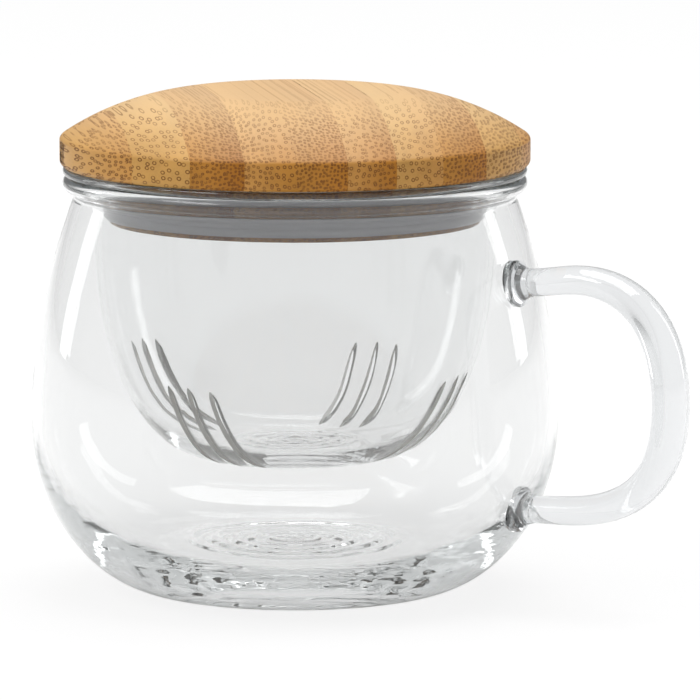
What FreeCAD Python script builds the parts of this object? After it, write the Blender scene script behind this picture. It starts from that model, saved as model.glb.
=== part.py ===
import FreeCAD, Part
import math
import os

# Lidded tea mug with infuser: a blown glass mug, a welded solid glass handle,
# a lift-out glass infuser with ground slits, and a lift-off bamboo lid with a soft seal.
# Millimetres, +Z up, origin at the centre of the mug's foot, handle towards +X.

# Mug body
MUG_HEIGHT = 84.2
FOOT_RADIUS = 27.5
BELLY_RADIUS = 53.3
BELLY_HEIGHT = 35.5
NECK_RADIUS = 44.9
NECK_BELOW_RIM = 5.2
NECK_LEAN = 19.5
MUG_WALL = 2.1
MUG_FLOOR = 5.8
RIM_BEAD_RADIUS = 1.6
RIM_BEAD_OUT = 0.3

# How full each curve of the mug's outline is, along its tangents
FOOT_FULLNESS = 10.8
LOWER_BELLY_FULLNESS = 22.5
UPPER_BELLY_FULLNESS = 18.0
SHOULDER_FULLNESS = 9.8
FLOOR_FULLNESS = 12.0
INNER_BELLY_FULLNESS = 20.0

# Handle: a solid rod, thin at the welds and flattened where it is held
HANDLE_UPPER_HEIGHT = 66.1
HANDLE_UPPER_WELD_DROP = 1.3
HANDLE_LOWER_HEIGHT = 19.9
HANDLE_LOWER_WELD_DROP = 0.3
HANDLE_REACH = 29.9
HANDLE_ROD_RUN = 6.7
HANDLE_MIDDLE_HEIGHT = 42.5
HANDLE_TOP_FULLNESS = 15.5
HANDLE_GRIP_FULLNESS = 14.8
ROD_THICKNESS = 5.5
ROD_WIDTH = 7.2
GRIP_THICKNESS = 6.8
GRIP_WIDTH = 10.8
GRIP_SWELL = 1.2
HANDLE_SECTIONS = 17

# Welds that join the handle to the mug
WELD_RADIUS = 4.7
WELD_OVAL = 0.2
WELD_PAD = 0.4
WELD_WAIST = 0.35
WELD_WAIST_THICKER = 1.3
WELD_WAIST_WIDER = 0.9
WELD_LENGTH = 3.6
WELD_BITE = 2.6

# Infuser
INFUSER_DEPTH = 57.7
INFUSER_WALL = 1.3
INFUSER_FLOOR = 2.2
INFUSER_NECK_GAP = 2.5
INFUSER_SEAT = 13.0
INFUSER_TAPER = 1.1
INFUSER_TAPER_DEPTH = 14.0
INFUSER_FOOT_RADIUS = 15.0
INFUSER_FOOT_FULLNESS = 13.0
INFUSER_SIDE_FULLNESS = 18.0
FLANGE_THICKNESS = 1.8
FLANGE_FILLET_OUT = 1.8
FLANGE_FILLET_IN = 2.5
FLANGE_EDGE = 0.85

# Slits: four hand-ground groups of three parallel cuts.
# Each group has the angle that its cuts face, from the handle, how far its
# middle cut lies beside the axis, and where its cuts end above the bottom.
SLIT_GROUPS = (
    (-102.3, 2.2, 18.4, 0.15),
    (4.5, -2.4, 19.0, 0.55),
    (85.8, 1.5, 19.1, 0.85),
    (184.5, -4.1, 21.8, 0.55),
)
SLITS_PER_GROUP = 3
SLIT_PITCH = 5.0
SLIT_WIDTH = 1.3
WHEEL_RADIUS = 40.0
WHEEL_EDGE = 2.2

# Lid: a turned board of glued bamboo strips with a plug below
LID_OVERHANG = 0.6
LID_SIDE = 5.8
LID_LOWER_FILLET = 1.4
LID_UPPER_FILLET = 0.8
LID_DOME = 9.3
LID_DOME_RADIUS = 54.0
LID_FLAT_RADIUS = 19.6
STAVE_COUNT = 10
LAST_STAVE_SHARE = 0.48
GRAIN_ANGLE = 36.5
SAW_CLEAR = 2.0

# Plug and seal
PLUG_DEPTH = 11.2
PLUG_EDGE = 0.4
PLUG_LIP = 1.0
SEAL_HEIGHT = 5.2
SEAL_GAP = 0.25
SEAL_THICKNESS = 2.4
SEAL_PROUD = 1.45
SEAL_RIBS = 4
SEAL_RIB_HEIGHT = 0.22
SEAL_CHAMFER = 0.6

# Two places nearer than this are the same place
TOUCHING = 0.001

# Places that follow from the sizes above
NECK_HEIGHT = MUG_HEIGHT - NECK_BELOW_RIM
RIM_RADIUS = NECK_RADIUS + RIM_BEAD_OUT + RIM_BEAD_RADIUS
NECK_BORE = NECK_RADIUS - MUG_WALL
INFUSER_RADIUS = NECK_BORE - INFUSER_NECK_GAP
INFUSER_BORE = INFUSER_RADIUS - INFUSER_WALL
INFUSER_BOTTOM = MUG_HEIGHT - INFUSER_DEPTH
LID_UNDERSIDE = MUG_HEIGHT + FLANGE_THICKNESS
LID_RADIUS = RIM_RADIUS + LID_OVERHANG
STAVE_WIDTH = 2 * LID_RADIUS / (STAVE_COUNT - 1 + LAST_STAVE_SHARE)
SEAL_RADIUS = INFUSER_BORE - SEAL_GAP
GROOVE_RADIUS = SEAL_RADIUS - SEAL_THICKNESS
PLUG_RADIUS = SEAL_RADIUS - SEAL_PROUD
PLUG_BOTTOM = LID_UNDERSIDE - PLUG_DEPTH
SEAL_BOTTOM = PLUG_BOTTOM + PLUG_LIP
SEAL_TOP = SEAL_BOTTOM + SEAL_HEIGHT


def point(radius, height):
    """A point of an outline in the XZ plane."""
    return FreeCAD.Vector(radius, 0, height)


def line(start, end):
    return Part.LineSegment(start, end).toShape()


def arc(start, middle, end):
    return Part.Arc(start, middle, end).toShape()


def bezier(poles):
    curve = Part.BezierCurve()
    curve.setPoles(poles)
    return curve


def fillet_arc(corner, start, end):
    """A quarter round between two points that lie square to the corner."""
    centre = start + end - corner
    radius = (start - centre).Length
    middle = centre + (corner - centre).normalize() * radius
    return arc(start, middle, end)


def smooth_arc(start, square, end):
    """The arc to an end point that leaves its start square to a given direction."""
    chord = end - start
    radius = chord.Length ** 2 / (2 * chord.dot(square))
    centre = start + square * radius
    middle = centre + ((start + end) * 0.5 - centre).normalize() * abs(radius)
    return arc(start, middle, end)


def polyline(points):
    return [line(a, b) for a, b in zip(points[:-1], points[1:])]


def turned(edges):
    """The solid that a closed outline sweeps round the Z axis."""
    face = Part.Face(Part.Wire(edges))
    return face.revolve(FreeCAD.Vector(0, 0, 0), FreeCAD.Vector(0, 0, 1), 360)


def rings_at(solid, radius, height):
    """The round edges of a turned solid that pass through a point of its outline."""
    place = Part.Vertex(point(radius, height))
    return [edge for edge in solid.Edges if edge.Length > radius and edge.distToShape(place)[0] < TOUCHING]


def save(shape, name):
    shape.exportStep("parts/" + name + ".step")


# Curves of the mug's outline

def shoulder_pole(radius, height):
    lean = math.radians(NECK_LEAN)
    return point(radius + SHOULDER_FULLNESS * math.sin(lean), height - SHOULDER_FULLNESS * math.cos(lean))


def outer_curves():
    """The mug's outside from the foot to the belly, and from the belly to the neck."""
    belly = point(BELLY_RADIUS, BELLY_HEIGHT)
    lower = bezier([
        point(FOOT_RADIUS, 0),
        point(FOOT_RADIUS + FOOT_FULLNESS, 0),
        point(BELLY_RADIUS, BELLY_HEIGHT - LOWER_BELLY_FULLNESS),
        belly,
    ])
    upper = bezier([
        belly,
        point(BELLY_RADIUS, BELLY_HEIGHT + UPPER_BELLY_FULLNESS),
        shoulder_pole(NECK_RADIUS, NECK_HEIGHT),
        point(NECK_RADIUS, NECK_HEIGHT),
    ])
    return lower, upper


def inner_curves():
    belly = point(BELLY_RADIUS - MUG_WALL, BELLY_HEIGHT)
    floor_radius = FOOT_RADIUS - MUG_WALL
    lower = bezier([
        point(floor_radius, MUG_FLOOR),
        point(floor_radius + FLOOR_FULLNESS, MUG_FLOOR),
        point(BELLY_RADIUS - MUG_WALL, BELLY_HEIGHT - INNER_BELLY_FULLNESS),
        belly,
    ])
    upper = bezier([
        belly,
        point(BELLY_RADIUS - MUG_WALL, BELLY_HEIGHT + UPPER_BELLY_FULLNESS),
        shoulder_pole(NECK_BORE, NECK_HEIGHT),
        point(NECK_BORE, NECK_HEIGHT),
    ])
    return lower, upper


def at_height(curves, height):
    """The point of two joined rising curves at a height, by halving."""
    lower, upper = curves
    curve = lower if height < lower.value(lower.LastParameter).z else upper
    low = curve.FirstParameter
    high = curve.LastParameter
    for _ in range(60):
        middle = (low + high) / 2
        if curve.value(middle).z < height:
            low = middle
        else:
            high = middle
    return curve.value(low)


def rim_edges():
    """The beaded rim, from the outside of the neck over the top to its bore."""
    bead_centre = NECK_RADIUS + RIM_BEAD_OUT
    bead_height = MUG_HEIGHT - RIM_BEAD_RADIUS
    neck = point(NECK_RADIUS, NECK_HEIGHT)
    lean = math.radians(NECK_LEAN)
    bead_start = point(bead_centre, bead_height - RIM_BEAD_RADIUS)
    hollow = smooth_arc(neck, point(math.cos(lean), math.sin(lean)), bead_start)
    bead_side = point(bead_centre + RIM_BEAD_RADIUS, bead_height)
    bead_top = point(bead_centre, MUG_HEIGHT)
    land_end = point(NECK_BORE + RIM_BEAD_RADIUS, MUG_HEIGHT)
    bore_top = point(NECK_BORE, MUG_HEIGHT - RIM_BEAD_RADIUS)
    return [
        hollow,
        arc(bead_start, bead_side, bead_top),
        line(bead_top, land_end),
        fillet_arc(point(NECK_BORE, MUG_HEIGHT), land_end, bore_top),
        line(bore_top, point(NECK_BORE, NECK_HEIGHT)),
    ]


def mug_body():
    outer_lower, outer_upper = outer_curves()
    inner_lower, inner_upper = inner_curves()
    floor_centre = point(0, MUG_FLOOR)
    foot_centre = point(0, 0)
    edges = [line(foot_centre, point(FOOT_RADIUS, 0)), outer_lower.toShape(), outer_upper.toShape()]
    edges += rim_edges()
    edges += [inner_upper.toShape(), inner_lower.toShape()]
    edges += [line(point(FOOT_RADIUS - MUG_WALL, MUG_FLOOR), floor_centre), line(floor_centre, foot_centre)]
    return turned(edges)


def mug_filled():
    """The mug's outside as a plain solid, to trim what is welded on."""
    lower, upper = outer_curves()
    top_centre = point(0, NECK_HEIGHT)
    edges = [line(point(0, 0), point(FOOT_RADIUS, 0)), lower.toShape(), upper.toShape()]
    edges += [line(point(NECK_RADIUS, NECK_HEIGHT), top_centre), line(top_centre, point(0, 0))]
    return turned(edges)


# Handle and its welds

def weld_points():
    """Where the handle's line meets the mug's outside, upper and lower."""
    curves = outer_curves()
    upper = at_height(curves, HANDLE_UPPER_HEIGHT - HANDLE_UPPER_WELD_DROP)
    lower = at_height(curves, HANDLE_LOWER_HEIGHT - HANDLE_LOWER_WELD_DROP)
    return upper, lower


def handle_path():
    """Stretches of the handle's middle line, from the upper weld to the lower one."""
    upper, lower = weld_points()
    grip = BELLY_RADIUS + HANDLE_REACH
    bend = BELLY_RADIUS + HANDLE_ROD_RUN
    top = point(bend, HANDLE_UPPER_HEIGHT)
    low = point(bend, HANDLE_LOWER_HEIGHT)
    middle = point(grip, HANDLE_MIDDLE_HEIGHT)
    rise = (top - upper).normalize()
    fall = (low - lower).normalize()
    return [
        bezier([upper, top]),
        bezier([top, top + rise * HANDLE_TOP_FULLNESS, middle + point(0, HANDLE_GRIP_FULLNESS), middle]),
        bezier([middle, middle - point(0, HANDLE_GRIP_FULLNESS), low + fall * HANDLE_TOP_FULLNESS, low]),
        bezier([low, lower]),
    ]


def along(stretches, distance):
    """Place and direction at a distance along joined stretches."""
    for curve in stretches:
        length = curve.length()
        if distance <= length or curve is stretches[-1]:
            parameter = curve.parameterAtDistance(min(distance, length), curve.FirstParameter)
            direction = curve.tangent(parameter)[0]
            return curve.value(parameter), direction
        distance -= length


def oval(centre, direction, thickness, width):
    """A closed oval across the handle, wide along Y."""
    inward = direction.cross(FreeCAD.Vector(0, 1, 0)).normalize()
    across = FreeCAD.Vector(0, 1, 0)
    if width > thickness:
        ellipse = Part.Ellipse(centre + across * (width / 2), centre + inward * (thickness / 2), centre)
    else:
        ellipse = Part.Ellipse(centre + inward * (thickness / 2), centre + across * (width / 2), centre)
    return Part.Wire(ellipse.toShape())


def handle():
    stretches = handle_path()
    total = sum(curve.length() for curve in stretches)
    start = WELD_LENGTH
    run = total - 2 * WELD_LENGTH
    sections = []
    for step in range(HANDLE_SECTIONS):
        share = step / (HANDLE_SECTIONS - 1)
        centre, direction = along(stretches, start + run * share)
        swell = math.sin(math.pi * share) ** GRIP_SWELL
        thickness = ROD_THICKNESS + (GRIP_THICKNESS - ROD_THICKNESS) * swell
        width = ROD_WIDTH + (GRIP_WIDTH - ROD_WIDTH) * swell
        sections.append(oval(centre, direction, thickness, width))
    return Part.makeLoft(sections, True, False)


def weld(at_end, trim):
    """A flared pad of glass from the mug's side to the end of the rod."""
    stretches = handle_path()
    total = sum(curve.length() for curve in stretches)
    root, direction = along(stretches, total if at_end else 0)
    outer, outer_direction = along(stretches, total - WELD_LENGTH if at_end else WELD_LENGTH)
    if at_end:
        direction = direction * -1
    waist_centre = root + (outer - root) * (1 - WELD_WAIST)
    flare = WELD_RADIUS * 2
    sections = [
        oval(root - direction * WELD_BITE, direction, flare, flare + WELD_OVAL),
        oval(root + direction * WELD_PAD, direction, flare, flare + WELD_OVAL),
        oval(waist_centre, direction, ROD_THICKNESS + WELD_WAIST_THICKER, ROD_WIDTH + WELD_WAIST_WIDER),
        oval(outer, outer_direction, ROD_THICKNESS, ROD_WIDTH),
    ]
    pad = Part.makeLoft(sections, True, False)
    return pad.cut(trim)


# Infuser

def infuser_curves(inset, floor_height):
    """The infuser's rounded bottom and tapering side, up to the straight seat of the lid."""
    seat_bottom = MUG_HEIGHT - INFUSER_SEAT
    seat = point(INFUSER_RADIUS - inset, seat_bottom)
    side = point(INFUSER_RADIUS - INFUSER_TAPER - inset, seat_bottom - INFUSER_TAPER_DEPTH)
    lean = FreeCAD.Vector(2 * INFUSER_TAPER, 0, INFUSER_TAPER_DEPTH).normalize()
    foot = point(INFUSER_FOOT_RADIUS, floor_height)
    bottom = bezier([
        foot,
        foot + point(INFUSER_FOOT_FULLNESS, 0),
        side - lean * INFUSER_SIDE_FULLNESS,
        side,
    ])
    taper = bezier([side, side + lean * (INFUSER_TAPER_DEPTH / 2), seat])
    return bottom, taper


def infuser_blank():
    floor_height = INFUSER_BOTTOM + INFUSER_FLOOR
    outer_bottom, outer_taper = infuser_curves(0, INFUSER_BOTTOM)
    inner_bottom, inner_taper = infuser_curves(INFUSER_WALL, floor_height)
    flange_top = MUG_HEIGHT + FLANGE_THICKNESS
    neck_outside = point(INFUSER_RADIUS, MUG_HEIGHT - FLANGE_FILLET_OUT)
    neck_inside = point(INFUSER_BORE, flange_top - FLANGE_FILLET_IN)
    under_start = point(INFUSER_RADIUS + FLANGE_FILLET_OUT, MUG_HEIGHT)
    under_end = point(RIM_RADIUS - FLANGE_EDGE, MUG_HEIGHT)
    edge_middle = point(RIM_RADIUS, MUG_HEIGHT + FLANGE_THICKNESS / 2)
    top_end = point(RIM_RADIUS - FLANGE_EDGE, flange_top)
    top_start = point(INFUSER_BORE + FLANGE_FILLET_IN, flange_top)
    edges = [
        line(point(0, INFUSER_BOTTOM), point(INFUSER_FOOT_RADIUS, INFUSER_BOTTOM)),
        outer_bottom.toShape(),
        outer_taper.toShape(),
        line(point(INFUSER_RADIUS, MUG_HEIGHT - INFUSER_SEAT), neck_outside),
        fillet_arc(point(INFUSER_RADIUS, MUG_HEIGHT), neck_outside, under_start),
        line(under_start, under_end),
        arc(under_end, edge_middle, top_end),
        line(top_end, top_start),
        fillet_arc(point(INFUSER_BORE, flange_top), top_start, neck_inside),
        line(neck_inside, point(INFUSER_BORE, MUG_HEIGHT - INFUSER_SEAT)),
        inner_taper.toShape(),
        inner_bottom.toShape(),
        line(point(INFUSER_FOOT_RADIUS, floor_height), point(0, floor_height)),
        line(point(0, floor_height), point(0, INFUSER_BOTTOM)),
    ]
    return turned(edges)


def grinding_wheel():
    """A thin disc about Z whose edge is a slim half oval, so its cut ends in points."""
    half = SLIT_WIDTH / 2
    shoulder = WHEEL_RADIUS - WHEEL_EDGE
    edge = Part.Ellipse(point(WHEEL_RADIUS, 0), point(shoulder, half), point(shoulder, 0))
    rim = Part.ArcOfEllipse(edge, -math.pi / 2, math.pi / 2)
    ends = [rim.value(rim.FirstParameter), rim.value(rim.LastParameter)]
    ends.sort(key=lambda place: place.z)
    edges = polyline([ends[1], point(0, half), point(0, -half), ends[0]])
    return turned([rim.toShape()] + edges)


def slit_wheel_place(slit_top, slit_bottom):
    """The wheel's centre in the plane of a middle cut: distance out, and height."""
    outer = infuser_curves(0, INFUSER_BOTTOM)
    top = at_height(outer, INFUSER_BOTTOM + slit_top)
    bottom = at_height(outer, INFUSER_BOTTOM + slit_bottom)
    chord = top - bottom
    outward = FreeCAD.Vector(chord.z, 0, -chord.x).normalize()
    return (top + bottom) * 0.5 + outward * math.sqrt(WHEEL_RADIUS ** 2 - (chord.Length / 2) ** 2)


def infuser():
    basket = infuser_blank()
    wheel = grinding_wheel()
    for angle, beside, slit_top, slit_bottom in SLIT_GROUPS:
        centre = slit_wheel_place(slit_top, slit_bottom)
        facing = math.radians(angle)
        outward = FreeCAD.Vector(math.cos(facing), math.sin(facing), 0)
        across = FreeCAD.Vector(-math.sin(facing), math.cos(facing), 0)
        for number in range(SLITS_PER_GROUP):
            shift = beside + SLIT_PITCH * (number - (SLITS_PER_GROUP - 1) / 2)
            place = outward * centre.x + across * shift + FreeCAD.Vector(0, 0, centre.z)
            cutter = wheel.copy()
            cutter.Placement = FreeCAD.Placement(place, FreeCAD.Rotation(FreeCAD.Vector(0, 0, 1), across))
            basket = basket.cut(cutter)
    return basket


# Lid

def lid_board():
    """The whole turned board with its plug and the groove for the seal."""
    side_top = LID_UNDERSIDE + LID_SIDE
    top = side_top + LID_DOME
    flat_edge = point(LID_FLAT_RADIUS, top)
    corner = point(LID_RADIUS, side_top)
    chord = flat_edge - corner
    upward = FreeCAD.Vector(chord.z, 0, -chord.x).normalize()
    rise = LID_DOME_RADIUS - math.sqrt(LID_DOME_RADIUS ** 2 - (chord.Length / 2) ** 2)
    dome_middle = (corner + flat_edge) * 0.5 + upward * rise
    side_low = point(LID_RADIUS, LID_UNDERSIDE + LID_LOWER_FILLET)
    under_end = point(LID_RADIUS - LID_LOWER_FILLET, LID_UNDERSIDE)
    plug_corner = point(PLUG_RADIUS, PLUG_BOTTOM)
    edge_start = point(PLUG_RADIUS - PLUG_EDGE, PLUG_BOTTOM)
    edge_end = point(PLUG_RADIUS, PLUG_BOTTOM + PLUG_EDGE)
    centre_top = point(0, top)
    centre_low = point(0, PLUG_BOTTOM)
    edges = polyline([centre_top, centre_low, edge_start])
    edges.append(fillet_arc(plug_corner, edge_start, edge_end))
    edges += polyline([
        edge_end,
        point(PLUG_RADIUS, SEAL_BOTTOM),
        point(GROOVE_RADIUS, SEAL_BOTTOM),
        point(GROOVE_RADIUS, SEAL_TOP),
        point(PLUG_RADIUS, SEAL_TOP),
        point(PLUG_RADIUS, LID_UNDERSIDE),
        under_end,
    ])
    edges.append(fillet_arc(point(LID_RADIUS, LID_UNDERSIDE), under_end, side_low))
    edges.append(line(side_low, corner))
    edges.append(arc(corner, dome_middle, flat_edge))
    edges.append(line(flat_edge, centre_top))
    board = turned(edges)
    return board.makeFillet(LID_UPPER_FILLET, rings_at(board, LID_RADIUS, side_top))


def lid_staves():
    """The board sawn along its glue lines, one solid for each bamboo strip."""
    board = lid_board()
    height = LID_SIDE + LID_DOME + PLUG_DEPTH
    length = 2 * LID_RADIUS + 2 * SAW_CLEAR
    glue_lines = [STAVE_WIDTH * number - LID_RADIUS for number in range(1, STAVE_COUNT)]
    edges = [-length / 2] + glue_lines + [length / 2]
    staves = []
    for left, right in zip(edges[:-1], edges[1:]):
        corner = FreeCAD.Vector(left, -length / 2, PLUG_BOTTOM - SAW_CLEAR)
        slab = Part.makeBox(right - left, length, height + 2 * SAW_CLEAR, corner)
        slab.rotate(FreeCAD.Vector(0, 0, 0), FreeCAD.Vector(0, 0, 1), GRAIN_ANGLE)
        staves.append(board.common(slab))
    return staves


def lid_seal():
    """A soft ring in the plug's groove, with rounded ribs that press on the infuser."""
    root = SEAL_RADIUS - SEAL_RIB_HEIGHT
    ribs_bottom = SEAL_BOTTOM + SEAL_CHAMFER
    pitch = (SEAL_TOP - ribs_bottom) / SEAL_RIBS
    edges = polyline([
        point(root, SEAL_TOP),
        point(GROOVE_RADIUS, SEAL_TOP),
        point(GROOVE_RADIUS, SEAL_BOTTOM),
        point(root - SEAL_CHAMFER, SEAL_BOTTOM),
        point(root, ribs_bottom),
    ])
    for number in range(SEAL_RIBS):
        low = ribs_bottom + pitch * number
        edges.append(arc(point(root, low), point(SEAL_RADIUS, low + pitch / 2), point(root, low + pitch)))
    return turned(edges)


def main():
    os.makedirs("parts", exist_ok=True)
    trim = mug_filled()
    save(mug_body(), "mug_body")
    save(handle(), "mug_handle")
    save(weld(False, trim), "handle_upper_joint")
    save(weld(True, trim), "handle_lower_joint")
    save(infuser(), "infuser_basket")
    for number, stave in enumerate(lid_staves(), 1):
        save(stave, "lid_stave_%02d" % number)
    save(lid_seal(), "lid_seal")


main()
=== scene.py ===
import math

import bpy
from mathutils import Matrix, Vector


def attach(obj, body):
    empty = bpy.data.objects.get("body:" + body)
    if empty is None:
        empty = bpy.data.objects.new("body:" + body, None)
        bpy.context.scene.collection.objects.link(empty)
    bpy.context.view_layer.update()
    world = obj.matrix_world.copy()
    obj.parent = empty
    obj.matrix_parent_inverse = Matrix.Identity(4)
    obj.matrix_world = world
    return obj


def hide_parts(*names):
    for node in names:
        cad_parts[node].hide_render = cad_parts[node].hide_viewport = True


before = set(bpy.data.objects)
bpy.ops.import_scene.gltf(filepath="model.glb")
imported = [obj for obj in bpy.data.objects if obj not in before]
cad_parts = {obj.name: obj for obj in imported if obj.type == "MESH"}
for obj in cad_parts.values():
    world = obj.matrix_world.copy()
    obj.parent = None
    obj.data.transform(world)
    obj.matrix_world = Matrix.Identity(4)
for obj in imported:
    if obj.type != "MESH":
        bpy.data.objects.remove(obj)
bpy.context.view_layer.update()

MM = 0.001

# The same sizes as the CAD source, in millimetres

# Mug, with how full each curve of its outline is
MUG_HEIGHT = 84.2
FOOT_RADIUS = 27.5
BELLY_RADIUS = 53.3
BELLY_HEIGHT = 35.5
NECK_RADIUS = 44.9
NECK_HEIGHT = 79.0
NECK_LEAN = math.radians(19.5)
NECK_HOLLOW = (44.72, 80.0)
MUG_WALL = 2.1
MUG_FLOOR = 5.8
NECK_BORE = NECK_RADIUS - MUG_WALL
BEAD_RADIUS = 1.6
BEAD_CENTRE = 45.2
FOOT_FULLNESS = 10.8
LOWER_BELLY_FULLNESS = 22.5
UPPER_BELLY_FULLNESS = 18.0
SHOULDER_FULLNESS = 9.8
FLOOR_FULLNESS = 12.0
INNER_BELLY_FULLNESS = 20.0

# Handle and its welds
UPPER_WELD = (49.56, 64.8)
LOWER_WELD = (50.16, 19.6)
WELD_RADIUS = 4.7
WELD_LENGTH = 3.8
WELD_SUNK = 1.2
HANDLE_BEND = 60.0
HANDLE_TOP = 66.1
HANDLE_LOW = 19.9
HANDLE_GRIP = 83.2
HANDLE_MIDDLE = 42.5
HANDLE_TOP_FULLNESS = 15.5
HANDLE_GRIP_FULLNESS = 14.8
ROD_WIDTH = 7.2
ROD_THICKNESS = 5.5
GRIP_WIDTH = 10.8
GRIP_THICKNESS = 6.8
GRIP_SWELL = 1.2

# Infuser
INFUSER_RADIUS = 40.3
INFUSER_WALL = 1.3
INFUSER_BORE = INFUSER_RADIUS - INFUSER_WALL
INFUSER_BOTTOM = 26.5
INFUSER_FLOOR = 28.7
INFUSER_FOOT = 15.0
INFUSER_FOOT_FULLNESS = 13.0
INFUSER_SIDE_FULLNESS = 18.0
SEAT_BOTTOM = 71.2
TAPER = 1.1
TAPER_DEPTH = 14.0
FLANGE_TOP = 86.0
FLANGE_RADIUS = 46.8
FLANGE_EDGE = 0.85
FLANGE_FILLET_OUT = 1.8
FLANGE_FILLET_IN = 2.5

# Each group of slits has the angle that it faces, from the handle, how far its middle slit
# lies beside the axis, and where its slits start and end above the infuser's bottom
SLIT_GROUPS = (
    (-102.3, 2.2, 18.4, 0.15),
    (4.5, -2.4, 19.0, 0.55),
    (85.8, 1.5, 19.1, 0.85),
    (184.5, -4.1, 21.8, 0.55),
)
SLIT_PITCH = 5.0
SLIT_WIDTH = 1.3
WHEEL_RADIUS = 40.0
WHEEL_EDGE = 2.2
WHEEL_BORE = 30.0

# Lid, with its plug and seal
LID_RADIUS = 47.4
LID_SIDE_TOP = 91.8
LID_TOP = 101.1
LID_FLAT = 19.6
LID_LOWER_FILLET = 1.4
DOME_RADIUS = 54.0
STAVE_COUNT = 10
STAVE_WIDTH = 10.0
GRAIN = math.radians(36.5)
PLUG_RADIUS = 37.3
PLUG_BOTTOM = 74.8
PLUG_EDGE = 0.4
GROOVE_RADIUS = 36.35
SEAL_RADIUS = 38.75
SEAL_BOTTOM = 75.8
SEAL_TOP = 81.0
SEAL_RIBS = 4
SEAL_RIB_HEIGHT = 0.22
SEAL_CHAMFER = 0.6

# How many steps each piece is turned in
GLASS_STEPS = 224
WHEEL_STEPS = 300
LID_STEPS = 288
SEAL_STEPS = 240
SMOOTH_ANGLE = math.radians(30)
GLASS_IOR = 1.47


# Shader maths

class Number:
    """A shader value that takes part in Python sums."""

    def __init__(self, maker, socket):
        self.maker = maker
        self.socket = socket

    def maths(self, operation, *others):
        made = self.maker.node("ShaderNodeMath", {"operation": operation}, dict(enumerate((self, *others))))
        return Number(self.maker, made.outputs[0])

    def __add__(self, other):
        return self.maths("ADD", other)

    __radd__ = __add__

    def __sub__(self, other):
        return self.maths("SUBTRACT", other)

    def __rsub__(self, other):
        return self * -1 + other

    def __mul__(self, other):
        return self.maths("MULTIPLY", other)

    __rmul__ = __mul__

    def __truediv__(self, other):
        return self.maths("DIVIDE", other)

    def __pow__(self, other):
        return self.maths("POWER", other)

    def larger(self, other):
        return self.maths("MAXIMUM", other)

    def step(self, start, end):
        """0 before start and 1 after end, with a smooth rise between."""
        made = self.maker.node(
            "ShaderNodeMapRange",
            {"interpolation_type": "SMOOTHSTEP"},
            {"Value": self, "From Min": start, "From Max": end},
        )
        return Number(self.maker, made.outputs[0])


class Finish:
    """A node tree being made, for a material or the world."""

    def __init__(self, owner):
        owner.use_nodes = True
        self.owner = owner
        self.tree = owner.node_tree
        self.tree.nodes.clear()

    def node(self, kind, settings, sockets):
        """A node with its settings, such as a Math node's operation, and its sockets' values or links."""
        made = self.tree.nodes.new(kind)
        for name, value in settings.items():
            setattr(made, name, value)
        for name, value in sockets.items():
            if isinstance(value, Number):
                value = value.socket
            if isinstance(value, bpy.types.NodeSocket):
                self.tree.links.new(value, made.inputs[name])
            else:
                made.inputs[name].default_value = value
        return made

    def number(self, made, output=0):
        return Number(self, made.outputs[output])

    def mix(self, factor, first, second):
        """A colour between two others."""
        made = self.node(
            "ShaderNodeMix",
            {"data_type": "RGBA"},
            {0: factor, 6: first, 7: second},
        )
        return made.outputs[2]

    def place(self):
        return self.node("ShaderNodeTexCoord", {}, {}).outputs["Object"]


def material(name):
    return Finish(bpy.data.materials.new(name))


# Mesh tools

def clear_selection():
    if bpy.context.object and bpy.context.object.mode != "OBJECT":
        bpy.ops.object.mode_set(mode="OBJECT")
    bpy.ops.object.select_all(action="DESELECT")


def arc(start, middle, end, steps):
    """Points of the arc through three points, without its start."""
    (ax, az), (bx, bz), (cx, cz) = start, middle, end
    d = 2 * (ax * (bz - cz) + bx * (cz - az) + cx * (az - bz))
    a, b, c = ax * ax + az * az, bx * bx + bz * bz, cx * cx + cz * cz
    ox = (a * (bz - cz) + b * (cz - az) + c * (az - bz)) / d
    oz = (a * (cx - bx) + b * (ax - cx) + c * (bx - ax)) / d
    radius = math.hypot(ax - ox, az - oz)
    first = math.atan2(az - oz, ax - ox)
    via = (math.atan2(bz - oz, bx - ox) - first) % math.tau
    last = (math.atan2(cz - oz, cx - ox) - first) % math.tau
    sweep = last if via < last else last - math.tau
    turns = [first + sweep * i / steps for i in range(1, steps + 1)]
    return [(ox + radius * math.cos(t), oz + radius * math.sin(t)) for t in turns]


def quarter(corner, start, end, steps):
    """A rounded corner between two points, without its start."""
    cx, cz = start[0] + end[0] - corner[0], start[1] + end[1] - corner[1]
    radius = math.hypot(start[0] - cx, start[1] - cz)
    reach = math.hypot(corner[0] - cx, corner[1] - cz)
    middle = (cx + (corner[0] - cx) * radius / reach, cz + (corner[1] - cz) * radius / reach)
    return arc(start, middle, end, steps)


def curve(poles, steps):
    """Points of a Bezier curve, without its start."""
    points = []
    for i in range(1, steps + 1):
        row = list(poles)
        while len(row) > 1:
            row = [(p[0] + (q[0] - p[0]) * i / steps, p[1] + (q[1] - p[1]) * i / steps)
                   for p, q in zip(row, row[1:])]
        points.append(row[0])
    return points


def straight(start, end, steps):
    """Points of a line, without its start."""
    return [(start[0] + (end[0] - start[0]) * i / steps, start[1] + (end[1] - start[1]) * i / steps)
            for i in range(1, steps + 1)]


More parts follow.
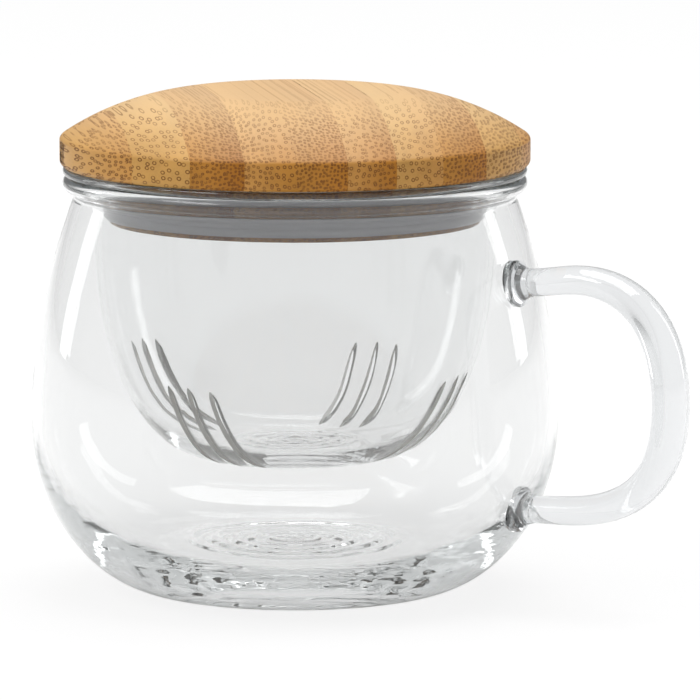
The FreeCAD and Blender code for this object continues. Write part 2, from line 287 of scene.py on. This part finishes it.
def turned(name, points, steps):
    """A piece spun round the Z axis from an outline that is drawn out corner by corner."""
    clear_selection()
    x, z = points[0]
    bpy.ops.mesh.primitive_plane_add(size=MM, location=(x * MM, 0, z * MM))
    piece = bpy.context.object
    piece.name = name
    bpy.ops.object.transform_apply(location=True)
    bpy.ops.object.mode_set(mode="EDIT")
    bpy.ops.mesh.merge(type="CENTER")
    for (x0, z0), (x1, z1) in zip(points, points[1:]):
        move = ((x1 - x0) * MM, 0, (z1 - z0) * MM)
        bpy.ops.mesh.extrude_region_move(TRANSFORM_OT_translate={"value": move})
    bpy.ops.mesh.select_all(action="SELECT")
    bpy.ops.mesh.spin(steps=steps, angle=math.tau, center=(0, 0, 0), axis=(0, 0, 1))
    bpy.ops.mesh.select_all(action="SELECT")
    bpy.ops.mesh.remove_doubles(threshold=2e-6)
    bpy.ops.mesh.normals_make_consistent(inside=False)
    bpy.ops.object.mode_set(mode="OBJECT")
    return piece


def smooth(piece):
    clear_selection()
    piece.select_set(True)
    bpy.context.view_layer.objects.active = piece
    bpy.ops.object.shade_smooth_by_angle(angle=SMOOTH_ANGLE)


def cut_away(piece, tool):
    """Cut a tool's shape out of a piece, which takes the tool's finish where it is cut."""
    clear_selection()
    bpy.context.view_layer.objects.active = piece
    cut = piece.modifiers.new("cut", "BOOLEAN")
    cut.operation = "DIFFERENCE"
    cut.object = tool
    cut.solver = "EXACT"
    cut.material_mode = "TRANSFER"
    bpy.ops.object.modifier_apply(modifier=cut.name)
    bpy.data.objects.remove(tool)


# Glass

# Noise waves per metre along each axis: long upright ones on a wall, flat ones low on the mug
WAVES_PER_METRE = (140, 140, 55)
RIDGES_PER_METRE = (90, 90, 420)
WAVE_HEIGHT = 0.04 * MM
RIDGE_SHARE = 4
THICK_GLASS = (0.845, 0.855, 0.855)


def glass(name, tint, depth_tint):
    """Blown glass: clear, faintly grey in its thickness, slightly wavy, and uneven where it stood."""
    finish = material(name)
    place = finish.place()
    parts = finish.node("ShaderNodeSeparateXYZ", {}, {0: place})
    x, y, height = (finish.number(parts, i) for i in range(3))
    beyond_foot = ((x * x + y * y) ** 0.5).step(24 * MM, 28 * MM)
    near_table = (1 - height.step(3 * MM, 13 * MM)) * beyond_foot
    along = finish.node("ShaderNodeMapping", {}, {"Vector": place, "Scale": WAVES_PER_METRE})
    wave = finish.number(finish.node("ShaderNodeTexNoise", {}, {
        "Vector": along.outputs[0], "Scale": 1.0, "Detail": 1.0}))
    around = finish.node("ShaderNodeMapping", {}, {"Vector": place, "Scale": RIDGES_PER_METRE})
    ridge = finish.number(finish.node("ShaderNodeTexNoise", {}, {
        "Vector": around.outputs[0], "Scale": 1.0, "Detail": 1.5}))
    bump = finish.node("ShaderNodeBump", {}, {
        "Strength": 1.0, "Distance": WAVE_HEIGHT, "Height": wave + ridge * near_table * RIDGE_SHARE})
    shader = finish.node("ShaderNodeBsdfPrincipled", {}, {
        "Base Color": (*tint, 1),
        "Roughness": 0.0,
        "IOR": GLASS_IOR,
        "Transmission Weight": 1.0,
        "Normal": bump.outputs[0],
    })
    depth = finish.node("ShaderNodeVolumeAbsorption", {}, {"Color": (*THICK_GLASS, 1), "Density": depth_tint})
    finish.node("ShaderNodeOutputMaterial", {}, {"Surface": shader.outputs[0], "Volume": depth.outputs[0]})
    return finish.owner


def ground_glass(name):
    """Glass as the grinding wheel leaves it, frosted."""
    finish = material(name)
    shader = finish.node("ShaderNodeBsdfPrincipled", {}, {
        "Base Color": (0.86, 0.86, 0.82, 1),
        "Roughness": 0.6,
        "IOR": GLASS_IOR,
        "Transmission Weight": 0.7,
    })
    finish.node("ShaderNodeOutputMaterial", {}, {"Surface": shader.outputs[0]})
    return finish.owner


def shoulder(radius):
    """The pole that gives the wall its lean where it meets the neck."""
    out = SHOULDER_FULLNESS * math.sin(NECK_LEAN)
    down = SHOULDER_FULLNESS * math.cos(NECK_LEAN)
    return (radius + out, NECK_HEIGHT - down)


def mug_outline():
    """The mug's outline from the middle of its foot, up its outside and down its inside."""
    upper_pole = BELLY_HEIGHT + UPPER_BELLY_FULLNESS
    lower_pole = BELLY_HEIGHT - LOWER_BELLY_FULLNESS
    inner_pole = BELLY_HEIGHT - INNER_BELLY_FULLNESS
    belly = (BELLY_RADIUS, BELLY_HEIGHT)
    neck = (NECK_RADIUS, NECK_HEIGHT)
    inner_belly = (BELLY_RADIUS - MUG_WALL, BELLY_HEIGHT)
    floor_edge = (FOOT_RADIUS - MUG_WALL, MUG_FLOOR)
    bead_low = (BEAD_CENTRE, MUG_HEIGHT - 2 * BEAD_RADIUS)
    bead_top = (BEAD_CENTRE, MUG_HEIGHT)
    land = (NECK_BORE + BEAD_RADIUS, MUG_HEIGHT)
    bore_top = (NECK_BORE, MUG_HEIGHT - BEAD_RADIUS)
    bore_low = (NECK_BORE, NECK_HEIGHT)
    foot = (FOOT_RADIUS, 0)
    foot_pole = (FOOT_RADIUS + FOOT_FULLNESS, 0)
    points = [(0, 0)]
    points += straight(points[0], foot, 20)
    points += curve([foot, foot_pole, (BELLY_RADIUS, lower_pole), belly], 48)
    points += curve([belly, (BELLY_RADIUS, upper_pole), shoulder(NECK_RADIUS), neck], 40)
    points += arc(neck, NECK_HOLLOW, bead_low, 8)
    points += arc(bead_low, (BEAD_CENTRE + BEAD_RADIUS, MUG_HEIGHT - BEAD_RADIUS), bead_top, 18)
    points += straight(bead_top, land, 2)
    points += quarter((NECK_BORE, MUG_HEIGHT), land, bore_top, 8)
    points += straight(bore_top, bore_low, 4)
    points += curve([bore_low, shoulder(NECK_BORE), (inner_belly[0], upper_pole), inner_belly], 40)
    floor_pole = (floor_edge[0] + FLOOR_FULLNESS, MUG_FLOOR)
    points += curve([inner_belly, (inner_belly[0], inner_pole), floor_pole, floor_edge], 48)
    points += rippled(floor_edge, height=0.26, pitch=4.3, steps=96)
    return points


def rippled(edge, height, pitch, steps):
    """A floor from its edge to the axis, with the rings that blowing leaves on it, closer at the middle."""
    crowding = 0.25
    rings = []
    for r, z in straight(edge, (0, edge[1]), steps):
        fade = min(1, (edge[0] - r) / pitch)
        closer = 1 + crowding - crowding * r / edge[0]
        rings.append((r, z + height * fade * math.sin(math.tau * r / pitch * closer)))
    return rings


# How far out from the mug's side the rings of a weld lie
WELD_RINGS = (-1.2, 0, 0.4, 0.7, 0.9, 1.05, 1.15, 1.3, 1.5, 1.7, 1.95, 2.25, 2.6, 3.0, 3.4, 3.8)

# The weld's outline: how far out from the mug's side, and how far in from the pad's edge
WELD_PROFILE = ((0, 0), (0.4, 0.05), (0.9, 0.3), (1.15, 0.75), (1.5, 1.25), (2.25, 1.6), (3.8, 1.95))


def handle_line():
    """The handle's middle line, which starts and ends inside the mug's wall."""
    upper, lower = Vector(UPPER_WELD), Vector(LOWER_WELD)
    top, low = Vector((HANDLE_BEND, HANDLE_TOP)), Vector((HANDLE_BEND, HANDLE_LOW))
    middle = Vector((HANDLE_GRIP, HANDLE_MIDDLE))
    rise, fall = (top - upper).normalized(), (low - lower).normalized()
    start, end = upper - rise * WELD_SUNK, lower - fall * WELD_SUNK
    over, beside = HANDLE_TOP_FULLNESS, Vector((0, HANDLE_GRIP_FULLNESS))
    short = 3
    clear_selection()
    bpy.ops.curve.primitive_bezier_curve_add(location=(0, 0, 0))
    line = bpy.context.object
    spline = line.data.splines[0]
    spline.bezier_points.add(3)
    knots = (
        (start, start - rise, start + rise * short),
        (top, top - rise * short, top + rise * over),
        (middle, middle + beside, middle - beside),
        (low, low + fall * over, low - fall * short),
        (end, end + fall * short, end - fall),
    )
    for knot, (place, before, after) in zip(spline.bezier_points, knots):
        knot.handle_left_type = knot.handle_right_type = "FREE"
        knot.co = (place[0] * MM, 0, place[1] * MM)
        knot.handle_left = (before[0] * MM, 0, before[1] * MM)
        knot.handle_right = (after[0] * MM, 0, after[1] * MM)
    line.data.dimensions = "3D"
    line.data.twist_mode = "MINIMUM"
    line.data.resolution_u = 64
    return line


def rod():
    """The handle's rod, drawn out straight along X with its flared ends, and then bent to its line."""
    line = handle_line()
    stations = rod_stations(line.data.splines[0].calc_length() / MM)
    clear_selection()
    bpy.ops.mesh.primitive_circle_add(vertices=56, radius=MM, fill_type="NGON", location=(0, 0, 0),
                                      rotation=(0, math.pi / 2, 0))
    piece = bpy.context.object
    bpy.ops.object.transform_apply(rotation=True)
    bpy.ops.object.mode_set(mode="EDIT")
    at, wide, thick = stations[0]
    bpy.ops.transform.resize(value=(1, wide / 2, thick / 2), center_override=(0, 0, 0))
    for (a, w0, t0), (b, w1, t1) in zip(stations, stations[1:]):
        bpy.ops.mesh.extrude_region_move(TRANSFORM_OT_translate={"value": ((b - a) * MM, 0, 0)})
        bpy.ops.transform.resize(value=(1, w1 / w0, t1 / t0), center_override=(b * MM, 0, 0))
    bpy.ops.mesh.select_all(action="DESELECT")
    bpy.ops.mesh.select_non_manifold()
    bpy.ops.mesh.edge_face_add()
    bpy.ops.mesh.select_all(action="SELECT")
    bpy.ops.mesh.normals_make_consistent(inside=False)
    bpy.ops.object.mode_set(mode="OBJECT")
    bend = piece.modifiers.new("bend", "CURVE")
    bend.object = line
    bend.deform_axis = "POS_X"
    bpy.ops.object.modifier_apply(modifier=bend.name)
    bpy.data.objects.remove(line)
    return piece


def rod_stations(length):
    """Where each ring of the rod is, with its width and thickness."""
    swell_start = WELD_LENGTH + 1.0
    first, count = 5.6, 120
    places = [r + WELD_SUNK for r in WELD_RINGS]
    places += [first + (length - 2 * first) * i / count for i in range(count + 1)]
    places += [length - r - WELD_SUNK for r in reversed(WELD_RINGS)]
    stations = []
    for at in places:
        along = min(1, max(0, (at - swell_start) / (length - 2 * swell_start)))
        swell = math.sin(math.pi * along) ** GRIP_SWELL
        wide = ROD_WIDTH + (GRIP_WIDTH - ROD_WIDTH) * swell
        thick = ROD_THICKNESS + (GRIP_THICKNESS - ROD_THICKNESS) * swell
        fall = weld_fall(min(at, length - at) - WELD_SUNK)
        pad = WELD_RADIUS * 2
        stations.append((at, pad + (wide - pad) * fall, pad + (thick - pad) * fall))
    return stations


def weld_fall(out):
    """How far the weld has narrowed from its pad to the rod, from 0 to 1, at a distance from the mug."""
    out = max(0, min(WELD_LENGTH, out))
    for (near, start), (far, end) in zip(WELD_PROFILE, WELD_PROFILE[1:]):
        if out <= far:
            return (start + (end - start) * (out - near) / (far - near)) / WELD_PROFILE[-1][1]


def make_mug(finish):
    mug = turned("glass_mug", mug_outline(), GLASS_STEPS)
    mug.data.materials.append(finish)
    smooth(mug)
    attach(mug, "mug")
    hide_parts("mug_body")


def make_handle(finish):
    """The rod with its two pads, whose ends are sunk into the mug's wall."""
    handle = rod()
    handle.name = "glass_handle"
    handle.data.materials.append(finish)
    smooth(handle)
    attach(handle, "mug")
    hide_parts("mug_handle", "handle_upper_joint", "handle_lower_joint")


# Infuser

def infuser_lower(inset, floor):
    """The poles of the infuser's round bottom and of its tapering side, on its outside or inside."""
    seat = (INFUSER_RADIUS - inset, SEAT_BOTTOM)
    side = (INFUSER_RADIUS - TAPER - inset, SEAT_BOTTOM - TAPER_DEPTH)
    size = math.hypot(2 * TAPER, TAPER_DEPTH)
    lean = (2 * TAPER / size, TAPER_DEPTH / size)
    foot = (INFUSER_FOOT, floor)
    foot_pole = (INFUSER_FOOT + INFUSER_FOOT_FULLNESS, floor)
    low_pole = (side[0] - lean[0] * INFUSER_SIDE_FULLNESS, side[1] - lean[1] * INFUSER_SIDE_FULLNESS)
    high_pole = (side[0] + lean[0] * TAPER_DEPTH / 2, side[1] + lean[1] * TAPER_DEPTH / 2)
    return [foot, foot_pole, low_pole, side], [side, high_pole, seat]


def infuser_outline():
    """The infuser's outline from the middle of its bottom, up its outside and down its inside."""
    outer_low, outer_taper = infuser_lower(0, INFUSER_BOTTOM)
    inner_low, inner_taper = infuser_lower(INFUSER_WALL, INFUSER_FLOOR)
    neck_out = (INFUSER_RADIUS, MUG_HEIGHT - FLANGE_FILLET_OUT)
    under_start = (INFUSER_RADIUS + FLANGE_FILLET_OUT, MUG_HEIGHT)
    under_end = (FLANGE_RADIUS - FLANGE_EDGE, MUG_HEIGHT)
    top_end = (FLANGE_RADIUS - FLANGE_EDGE, FLANGE_TOP)
    top_start = (INFUSER_BORE + FLANGE_FILLET_IN, FLANGE_TOP)
    neck_in = (INFUSER_BORE, FLANGE_TOP - FLANGE_FILLET_IN)
    points = [(0, INFUSER_BOTTOM)]
    points += straight(points[-1], outer_low[0], 16)
    points += curve(outer_low, 60)
    points += curve(outer_taper, 12)
    points += straight(points[-1], neck_out, 6)
    points += quarter((INFUSER_RADIUS, MUG_HEIGHT), neck_out, under_start, 8)
    points += straight(under_start, under_end, 3)
    points += arc(under_end, (FLANGE_RADIUS, (MUG_HEIGHT + FLANGE_TOP) / 2), top_end, 10)
    points += straight(top_end, top_start, 3)
    points += quarter((INFUSER_BORE, FLANGE_TOP), top_start, neck_in, 8)
    points += straight(neck_in, (INFUSER_BORE, SEAT_BOTTOM), 6)
    points += curve(inner_taper[::-1], 12)
    points += curve(inner_low[::-1], 60)
    points += rippled(inner_low[0], height=0.13, pitch=3.1, steps=72)
    return points


def at_height(points, height):
    """The place on a rising line of points that lies at a height."""
    for (x0, z0), (x1, z1) in zip(points, points[1:]):
        if z0 <= height <= z1:
            return x0 + (x1 - x0) * (height - z0) / (z1 - z0), height


def wheel_centre(slit_top, slit_bottom):
    """Where the wheel's middle is, outside the infuser, to grind a slit with these ends."""
    outer = [(INFUSER_FOOT, INFUSER_BOTTOM)] + curve(infuser_lower(0, INFUSER_BOTTOM)[0], 400)
    top = at_height(outer, INFUSER_BOTTOM + slit_top)
    low = at_height(outer, INFUSER_BOTTOM + slit_bottom)
    chord = Vector((top[0] - low[0], top[1] - low[1]))
    out = Vector((chord[1], -chord[0])).normalized()
    return (Vector(top) + Vector(low)) / 2 + out * math.sqrt(WHEEL_RADIUS ** 2 - (chord.length / 2) ** 2)


def grinding_wheels(finish):
    """Thin wheels, three side by side for each group, whose half-oval rims grind the slits."""
    half, rim_steps = SLIT_WIDTH / 2, 16
    turns = [math.pi * (i / rim_steps - 0.5) for i in range(rim_steps + 1)]
    rim = [(WHEEL_RADIUS - WHEEL_EDGE + WHEEL_EDGE * math.cos(t), half * math.sin(t)) for t in turns]
    corners = [(WHEEL_BORE, half), (WHEEL_BORE, -half)]
    first = turned("wheels", corners[1:] + rim + corners, WHEEL_STEPS)
    first.data.materials.append(finish)
    wheels = []
    for angle, beside, slit_top, slit_bottom in SLIT_GROUPS:
        centre = wheel_centre(slit_top, slit_bottom)
        facing = math.radians(angle)
        for number in (-1, 0, 1):
            shift = beside + SLIT_PITCH * number
            wheel = first.copy()
            wheel.data = first.data.copy()
            bpy.context.collection.objects.link(wheel)
            wheel.rotation_euler = (math.pi / 2, 0, facing)
            wheel.location = Vector((
                centre[0] * math.cos(facing) - shift * math.sin(facing),
                centre[0] * math.sin(facing) + shift * math.cos(facing),
                centre[1],
            )) * MM
            wheels.append(wheel)
    bpy.data.objects.remove(first)
    clear_selection()
    for wheel in wheels:
        wheel.select_set(True)
    bpy.context.view_layer.objects.active = wheels[0]
    bpy.ops.object.transform_apply(location=True, rotation=True)
    bpy.ops.object.join()
    return wheels[0]


def make_infuser(clear, frosted):
    infuser = turned("glass_infuser", infuser_outline(), GLASS_STEPS)
    infuser.data.materials.append(clear)
    cut_away(infuser, grinding_wheels(frosted))
    smooth(infuser)
    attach(infuser, "infuser")
    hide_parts("infuser_basket")


# Lid

PALE = (0.49, 0.265, 0.07)
STRAW = (0.465, 0.225, 0.052)
HONEY = (0.405, 0.175, 0.024)
AMBER = (0.375, 0.145, 0.013)
BROWN = (0.315, 0.115, 0.008)

RING_BROWN = (0.115, 0.038, 0.007)
# Pale colour painted over the dome: mostly painted sheen and top light, with some paler grain on the turned
# top
TOP_PALE_AND_SHEEN = (0.77, 0.57, 0.33)

# A ring's radius as a share of the pitch, and the inner and outer half width of its line, in millimetres
RING_RADIUS = 0.22
RING_LINE = (0.05, 0.14)

# For each strip: the ground at its left and right edge, and how far apart the fibre bundles lie there
STRIPS = (
    (PALE, STRAW, 1.15, 0.8),
    (PALE, PALE, 1.25, 1.5),
    (HONEY, BROWN, 0.95, 0.6),
    (STRAW, HONEY, 0.85, 1.35),
    (HONEY, AMBER, 0.8, 0.65),
    (STRAW, AMBER, 1.3, 0.85),
    (PALE, STRAW, 1.3, 1.45),
    (HONEY, AMBER, 0.9, 0.6),
    (PALE, PALE, 1.0, 0.65),
    (STRAW, HONEY, 0.9, 0.7),
)


def strip_edge(number):
    """How far a strip's left edge lies from the lid's middle, across the strips."""
    return STAVE_WIDTH * (number - 1) - LID_RADIUS


def bamboo(number):
    """End-grain bamboo: rings and dots of fibre bundles that run straight through the strip."""
    left, right, left_pitch, right_pitch = STRIPS[number - 1]
    finish = material("bamboo_%02d" % number)
    along_grain = finish.node("ShaderNodeMapping", {}, {
        "Vector": finish.place(), "Rotation": (0, 0, -GRAIN), "Scale": (1 / MM, 1 / MM, 1 / MM)})
    parts = finish.node("ShaderNodeSeparateXYZ", {}, {0: along_grain.outputs[0]})
    u, v, z = (finish.number(parts, i) for i in range(3))
    past_corner = z.step(LID_SIDE_TOP - 0.3, LID_SIDE_TOP + 0.3)
    on_dome = z.step(LID_SIDE_TOP - 0.3, LID_SIDE_TOP + 1.2)
    near_top = z.step(LID_TOP - 3.6, LID_TOP - 0.2)
    above_side = z.step(LID_SIDE_TOP - 0.6, LID_SIDE_TOP + 1.2)
    up_dome = z.step(LID_SIDE_TOP + 0.2, LID_TOP - 0.1)

    across = (u - strip_edge(number)) / STAVE_WIDTH
    pitch = across * (right_pitch - left_pitch) + left_pitch
    if left_pitch == right_pitch:
        crowd_u = u / left_pitch
    else:
        crowd_u = (pitch / left_pitch).maths("LOGARITHM", math.e) * (STAVE_WIDTH / (right_pitch - left_pitch))
    rise = (z - LID_SIDE_TOP) * (1 + past_corner * 0.7)
    shift = 7.3 * number
    cell = finish.node("ShaderNodeCombineXYZ", {}, {0: crowd_u + shift, 1: rise / pitch, 2: 0})
    bundle = finish.node("ShaderNodeTexVoronoi", {"voronoi_dimensions": "2D"},
                         {"Vector": cell.outputs[0], "Scale": 1.0, "Randomness": 0.72})
    chance = finish.number(finish.node("ShaderNodeSeparateColor", {}, {0: bundle.outputs["Color"]}))
    away = (finish.number(bundle, "Distance") - RING_RADIUS).maths("ABSOLUTE")
    ring = 1 - (away * pitch).step(*RING_LINE)

    grit_place = finish.node("ShaderNodeCombineXYZ", {}, {0: u, 1: v * 0.04, 2: z})
    grit = finish.number(finish.node("ShaderNodeTexNoise", {}, {
        "Vector": grit_place.outputs[0], "Scale": 3.2, "Detail": 3.0, "Roughness": 0.6}))
    cloud = finish.number(finish.node("ShaderNodeTexNoise", {}, {
        "Vector": grit_place.outputs[0], "Scale": 0.22, "Detail": 2.0}))
    # Rings and dots are painted fainter on the dome, and fainter still near the top: a painted sheen that
    # washes out their contrast there
    sheen_fade = 1 - near_top * 0.4 - on_dome * 0.3
    dark = ring * (0.65 + chance * 0.35) * grit.step(0.26, 0.44) * sheen_fade

    ground = finish.mix(across.step(0, 1), (*left, 1), (*right, 1))
    mottled = finish.mix((grit - 0.35) * 0.5 + (cloud - 0.5) * 0.8, ground, (*(c * 0.45 for c in right), 1))
    # The dome is painted paler towards the top, mostly as painted sheen and top light, with some paler grain
    # on the turned face
    pale_top_and_sheen = finish.mix(above_side * 0.12 + up_dome * 0.4, mottled, (*TOP_PALE_AND_SHEEN, 1))
    marked = finish.mix(dark * 0.95, pale_top_and_sheen, (*RING_BROWN, 1))
    bump = finish.node("ShaderNodeBump", {}, {
        "Strength": 0.35, "Distance": 0.0001, "Height": grit * 0.4 - dark * 0.8})
    shader = finish.node("ShaderNodeBsdfPrincipled", {}, {
        "Base Color": marked, "Roughness": 0.42 + dark * 0.2, "IOR": 1.5,
        "Specular IOR Level": 0.2, "Normal": bump.outputs[0]})
    finish.node("ShaderNodeOutputMaterial", {}, {"Surface": shader.outputs[0]})
    return finish.owner


def lid_outline():
    """The lid's outline from the middle of its plug's underside, round its side to the middle of its top."""
    corner_round, flat_round = 0.55, 1.0
    corner = (LID_RADIUS, LID_SIDE_TOP)
    flat_edge = (LID_FLAT, LID_TOP)
    chord = Vector((flat_edge[0] - corner[0], flat_edge[1] - corner[1]))
    upward = Vector((chord[1], -chord[0])).normalized()
    rise = DOME_RADIUS - math.sqrt(DOME_RADIUS ** 2 - (chord.length / 2) ** 2)
    crown = (Vector(corner) + Vector(flat_edge)) / 2 + upward * rise
    dome = arc(corner, tuple(crown), flat_edge, 80)
    under_end = (LID_RADIUS - LID_LOWER_FILLET, FLANGE_TOP)
    side_low = (LID_RADIUS, FLANGE_TOP + LID_LOWER_FILLET)
    plug_edge = (PLUG_RADIUS - PLUG_EDGE, PLUG_BOTTOM)
    points = [(0, PLUG_BOTTOM), plug_edge]
    points += quarter((PLUG_RADIUS, PLUG_BOTTOM), plug_edge, (PLUG_RADIUS, PLUG_BOTTOM + PLUG_EDGE), 4)
    points += [(PLUG_RADIUS, SEAL_BOTTOM), (GROOVE_RADIUS, SEAL_BOTTOM), (GROOVE_RADIUS, SEAL_TOP)]
    points += [(PLUG_RADIUS, SEAL_TOP), (PLUG_RADIUS, FLANGE_TOP), under_end]
    points += quarter((LID_RADIUS, FLANGE_TOP), under_end, side_low, 8)
    points += [(LID_RADIUS, LID_SIDE_TOP - corner_round)]
    points += curve([points[-1], corner, dome[1]], 6)
    points += dome[2:-3]
    points += curve([dome[-4], flat_edge, (LID_FLAT - flat_round, LID_TOP)], 6)
    points += straight(points[-1], (0, LID_TOP), 20)
    return points


def make_lid():
    """The lid is turned once, and each strip is a copy cut along its two glue lines."""
    board = turned("board", lid_outline(), LID_STEPS)
    smooth(board)
    side = Vector((math.cos(GRAIN), math.sin(GRAIN), 0))
    for number in range(1, STAVE_COUNT + 1):
        strip = board.copy()
        strip.data = board.data.copy()
        strip.name = "bamboo_strip_%02d" % number
        bpy.context.collection.objects.link(strip)
        clear_selection()
        strip.select_set(True)
        bpy.context.view_layer.objects.active = strip
        bpy.ops.object.mode_set(mode="EDIT")
        for edge, inner in ((strip_edge(number), True), (strip_edge(number + 1), False)):
            bpy.ops.mesh.select_all(action="SELECT")
            bpy.ops.mesh.bisect(plane_co=side * edge * MM, plane_no=side, use_fill=True,
                                clear_inner=inner, clear_outer=not inner)
        bpy.ops.object.mode_set(mode="OBJECT")
        smooth(strip)
        strip.data.materials.append(bamboo(number))
        node = "lid_stave_%02d" % number
        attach(strip, "lid")
        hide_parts(node)
    bpy.data.objects.remove(board)


def silicone():
    """Milky silicone with a satin surface."""
    finish = material("silicone")
    shader = finish.node("ShaderNodeBsdfPrincipled", {}, {
        "Base Color": (0.71, 0.71, 0.74, 1),
        "Roughness": 0.38,
        "IOR": 1.41,
        "Subsurface Weight": 0.5,
        "Subsurface Radius": (3 * MM, 3 * MM, 3 * MM),
        "Subsurface Scale": 1.0,
    })
    finish.node("ShaderNodeOutputMaterial", {}, {"Surface": shader.outputs[0]})
    return finish.owner


def make_seal():
    """A ring in the plug's groove, with rounded ribs round its outside."""
    root = SEAL_RADIUS - SEAL_RIB_HEIGHT
    ribs_bottom = SEAL_BOTTOM + SEAL_CHAMFER
    pitch = (SEAL_TOP - ribs_bottom) / SEAL_RIBS
    points = [(GROOVE_RADIUS, SEAL_BOTTOM), (root - SEAL_CHAMFER, SEAL_BOTTOM), (root, ribs_bottom)]
    for number in range(SEAL_RIBS):
        low = ribs_bottom + pitch * number
        points += arc((root, low), (SEAL_RADIUS, low + pitch / 2), (root, low + pitch), 8)
    points += [(GROOVE_RADIUS, SEAL_TOP), points[0]]
    seal = turned("soft_seal", points, SEAL_STEPS)
    seal.data.materials.append(silicone())
    smooth(seal)
    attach(seal, "lid")
    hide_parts("lid_seal")


# Stage

# The photograph's view: where the camera stands, and its lens and centre line in pixels
CAMERA_TURN = math.radians(27)
CAMERA_TILT = math.radians(8.12)
CAMERA_AWAY = 1.55
CAMERA_HEIGHT = 0.26945
PHOTO_WIDTH = 700
FOCAL_PIXELS = 7750
AXIS_PIXEL = 295
SENSOR_WIDTH = 36

# Lamps: name, place, size and power
LAMPS = (
    ("key", (-0.9, -1.1, 1.6), (1.0, 0.7), 15),
    ("left", (-1.5, 0.18, 0.55), (0.22, 1.1), 1.7),
    ("right", (0.8, 1.25, 0.55), (0.22, 1.1), 1.7),
    ("above", (0.0, 0.3, 1.6), (1.3, 1.3), 22),
)
LAMP_TARGET = Vector((0, 0, 0.05))

# Light passes many faces of clear glass before it comes out
LIGHT_BOUNCES = 128


def make_camera():
    clear_selection()
    bpy.ops.object.camera_add(
        location=(CAMERA_AWAY * math.sin(CAMERA_TURN), -CAMERA_AWAY * math.cos(CAMERA_TURN), CAMERA_HEIGHT),
        rotation=(math.pi / 2 - CAMERA_TILT, 0, CAMERA_TURN),
    )
    camera = bpy.context.object
    camera.data.sensor_width = SENSOR_WIDTH
    camera.data.lens = FOCAL_PIXELS / PHOTO_WIDTH * SENSOR_WIDTH
    camera.data.shift_x = (PHOTO_WIDTH / 2 - AXIS_PIXEL) / PHOTO_WIDTH
    camera.data.clip_end = 50
    bpy.context.scene.camera = camera


def make_floor():
    """A white floor that looks evenly lit, straight on or through glass, but for a faint shadow."""
    clear_selection()
    bpy.ops.mesh.primitive_circle_add(vertices=96, radius=6, fill_type="NGON", location=(0, 0, -0.0002))
    floor = bpy.context.object
    floor.name = "floor"
    finish = material("floor")
    path = finish.node("ShaderNodeLightPath", {}, {})
    seen = finish.number(path, "Is Camera Ray").larger(finish.number(path, "Is Transmission Ray"))
    lit = finish.node("ShaderNodeBsdfDiffuse", {}, {"Color": (0.8, 0.8, 0.8, 1)})
    glow = finish.node("ShaderNodeEmission", {}, {"Color": (1, 1, 1, 1), "Strength": 1.0})
    evenness = 0.86
    both = finish.node("ShaderNodeMixShader", {}, {0: seen * evenness, 1: lit.outputs[0], 2: glow.outputs[0]})
    finish.node("ShaderNodeOutputMaterial", {}, {"Surface": both.outputs[0]})
    floor.data.materials.append(finish.owner)


def make_world():
    """White all round where it is seen, and dimmer as light, in reflections and high up through glass."""
    world = bpy.data.worlds.new("studio")
    bpy.context.scene.world = world
    finish = Finish(world)
    path = finish.node("ShaderNodeLightPath", {}, {})
    through = finish.number(path, "Is Transmission Ray")
    seen = finish.number(path, "Is Camera Ray").larger(through)
    mirrored = finish.number(path, "Is Glossy Ray") * (1 - through)
    way = finish.node("ShaderNodeTexCoord", {}, {}).outputs["Generated"]
    up = finish.number(finish.node("ShaderNodeSeparateXYZ", {}, {0: way}), 2)
    overhead = through * up.step(0.3, 0.8)
    strength = seen * 0.4 - mirrored * 0.25 - overhead * 0.5 + 0.6
    sky = finish.node("ShaderNodeBackground", {}, {"Color": (1, 1, 1, 1), "Strength": strength})
    finish.node("ShaderNodeOutputWorld", {}, {"Surface": sky.outputs[0]})


def make_lamp(name, place, size, power):
    clear_selection()
    bpy.ops.object.light_add(type="AREA", location=place)
    lamp = bpy.context.object
    lamp.name = name
    lamp.rotation_euler = (LAMP_TARGET - Vector(place)).to_track_quat("-Z", "Y").to_euler()
    lamp.data.shape = "RECTANGLE"
    lamp.data.size, lamp.data.size_y = size
    lamp.data.energy = power


make_camera()
make_floor()
make_world()
for lamp in LAMPS:
    make_lamp(*lamp)

make_mug(glass("clear_glass", tint=(0.932, 0.935, 0.935), depth_tint=28))
make_handle(glass("handle_glass", tint=(0.95, 0.955, 0.965), depth_tint=90))
make_infuser(glass("infuser_glass", tint=(0.95, 0.953, 0.953), depth_tint=28), ground_glass("ground_glass"))
make_lid()
make_seal()

scene = bpy.context.scene
scene.view_settings.view_transform = "Standard"
scene.cycles.max_bounces = LIGHT_BOUNCES
scene.cycles.transmission_bounces = LIGHT_BOUNCES
scene.cycles.glossy_bounces = LIGHT_BOUNCES
